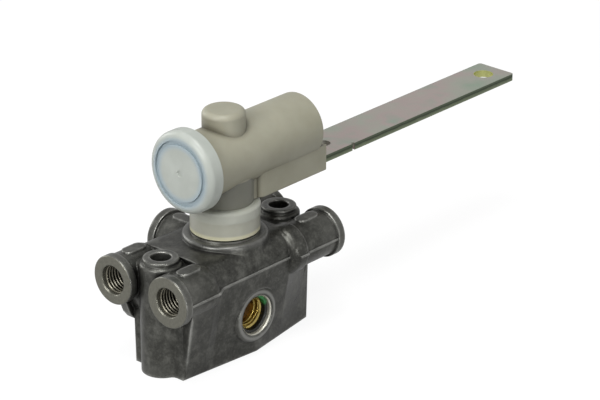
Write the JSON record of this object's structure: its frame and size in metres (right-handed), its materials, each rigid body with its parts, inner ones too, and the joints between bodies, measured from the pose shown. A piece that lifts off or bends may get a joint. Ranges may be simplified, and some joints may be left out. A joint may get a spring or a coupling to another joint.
{
  "type": "levelling valve",
  "caption": "Die-cast levelling valve with a plastic lever head on a turning shaft, a flat steel lever, threaded ports and two mounting columns.",
  "frame": {"origin": "on the shaft's axis, at the plane of the mounting columns' feet", "axes": "+Z along the shaft, away from the mounting face; +X along the lever, towards its link hole"},
  "size_m": [0.2169, 0.0571, 0.1015],
  "materials": {
    "cast_dark": "die-cast alloy, dark, satin",
    "brass": "turned",
    "green_rubber": "smooth",
    "black_rubber": "smooth",
    "steel_bright": "ground",
    "steel_dark": "oiled spring steel",
    "beige_plastic": "moulded, satin",
    "clear_plastic": "milky, translucent",
    "dark_plastic": "moulded",
    "zinc_steel": "yellow-passivated zinc",
    "bronze": "sintered"
  },
  "bodies": {
    "valve_body": {"valve_casting": "cast_dark", "shaft_bush": "bronze", "shaft_seal": "black_rubber", "turret_ring": "steel_bright", "brass_insert": "brass", "supply_seal": "green_rubber", "inlet_strainer": "bronze"},
    "shaft": {"control_shaft": "steel_bright", "shaft_clip": "steel_dark", "eccentric_pin": "steel_bright", "shaft_ring_1": "black_rubber", "shaft_ring_2": "black_rubber"},
    "spool": {"valve_spool": "brass", "spool_ring_1": "black_rubber", "spool_ring_2": "black_rubber", "spool_ring_3": "black_rubber"},
    "head": {"lever_head": "beige_plastic", "top_bush": "dark_plastic", "dust_skirt": "clear_plastic", "front_cap": "clear_plastic", "cap_seal": "black_rubber", "spring_disc": "dark_plastic", "lever_bar": "zinc_steel", "lever_lock_pin": "steel_dark", "overtravel_spring": "steel_dark"},
    "plunger": {"overtravel_plunger": "dark_plastic"}
  },
  "joints": [
    {"name": "shaft_turn", "type": "hinge", "parent": "valve_body", "child": "shaft", "pos_m": [0, 0, 0.0172], "axis": [0, 0, 1], "range_deg": [-45, 45]},
    {"name": "spool_slide", "type": "slide", "parent": "valve_body", "child": "spool", "axis": [0, 1, 0], "range_m": [-0.00165, 0.00165]},
    {"name": "overtravel_swing", "type": "hinge", "parent": "shaft", "child": "head", "pos_m": [0, 0, 0.0816], "axis": [0, 0, 1], "range_deg": [0, 30], "stiffness_Nm_per_rad": 1.2, "springref_deg": -17.19},
    {"name": "plunger_slide", "type": "slide", "parent": "head", "child": "plunger", "axis": [-1, 0, 0], "range_m": [0, 0.0031], "deforming": ["overtravel_spring"]}
  ],
  "couplings": [
    {"joint": "spool_slide", "follows": "shaft_turn", "m_per_rad": 0.0019},
    {"joint": "plunger_slide", "follows": "overtravel_swing", "m_per_rad": 0.0053}
  ]
}
